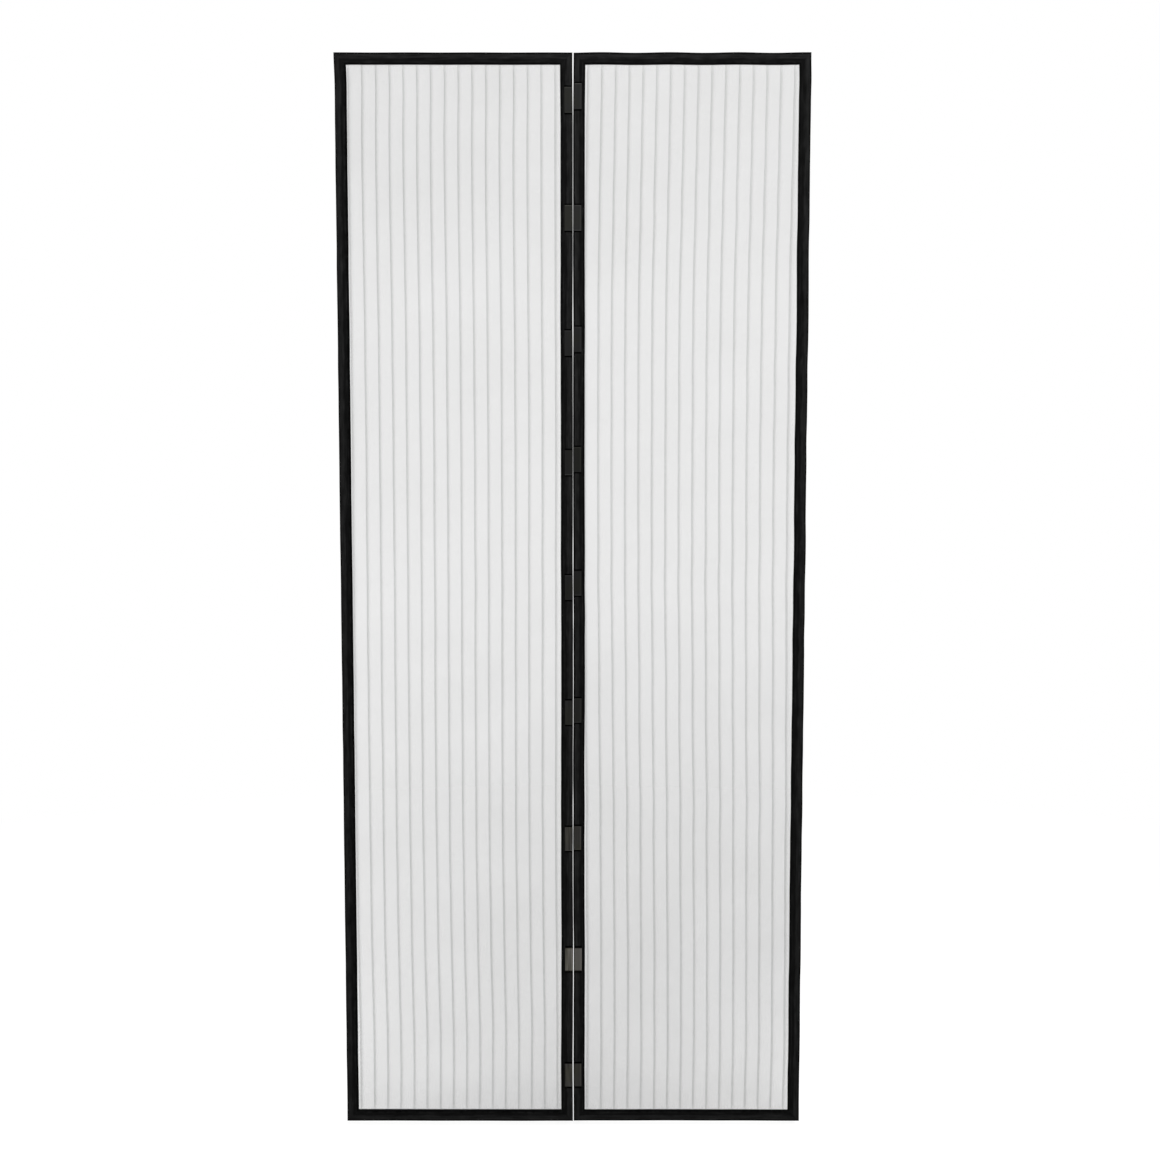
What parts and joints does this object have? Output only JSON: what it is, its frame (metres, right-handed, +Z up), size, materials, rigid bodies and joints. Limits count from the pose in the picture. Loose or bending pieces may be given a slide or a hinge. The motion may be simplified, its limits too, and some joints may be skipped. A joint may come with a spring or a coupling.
{
  "type": "door insect screen",
  "caption": "Two-leaf door insect screen: ribbed net bound with folded black tape, closing in the middle with flat magnets and held up by loop strips on its back.",
  "frame": {"origin": "middle of the doorway at the hem, halfway through the thickness", "axes": "+X to the right seen from the room, -Y towards the room (the magnets' side), +Z up"},
  "size_m": [0.904, 0.0066, 2.1],
  "materials": {
    "net": "pale grey knitted net with fine ribs, matt",
    "tape": "black woven binding tape, matt with a slight sheen",
    "magnet": "dark grey flexible magnet, satin",
    "loop_strip": "black loop pile, matt"
  },
  "bodies": {
    "root": {"net_left": "net", "top_tape_left": "tape", "hem_tape_left": "tape", "outer_tape_left": "tape", "meeting_tape_left": "tape", "magnet_left_1": "magnet", "magnet_left_2": "magnet", "magnet_left_3": "magnet", "magnet_left_4": "magnet", "magnet_left_5": "magnet", "magnet_left_6": "magnet", "magnet_left_7": "magnet", "magnet_left_8": "magnet", "magnet_left_9": "magnet", "top_loop_strip_left": "loop_strip", "side_loop_strip_left": "loop_strip", "net_right": "net", "top_tape_right": "tape", "hem_tape_right": "tape", "outer_tape_right": "tape", "meeting_tape_right": "tape", "magnet_right_1": "magnet", "magnet_right_2": "magnet", "magnet_right_3": "magnet", "magnet_right_4": "magnet", "magnet_right_5": "magnet", "magnet_right_6": "magnet", "magnet_right_7": "magnet", "magnet_right_8": "magnet", "magnet_right_9": "magnet", "top_loop_strip_right": "loop_strip", "side_loop_strip_right": "loop_strip"}
  },
  "joints": []
}
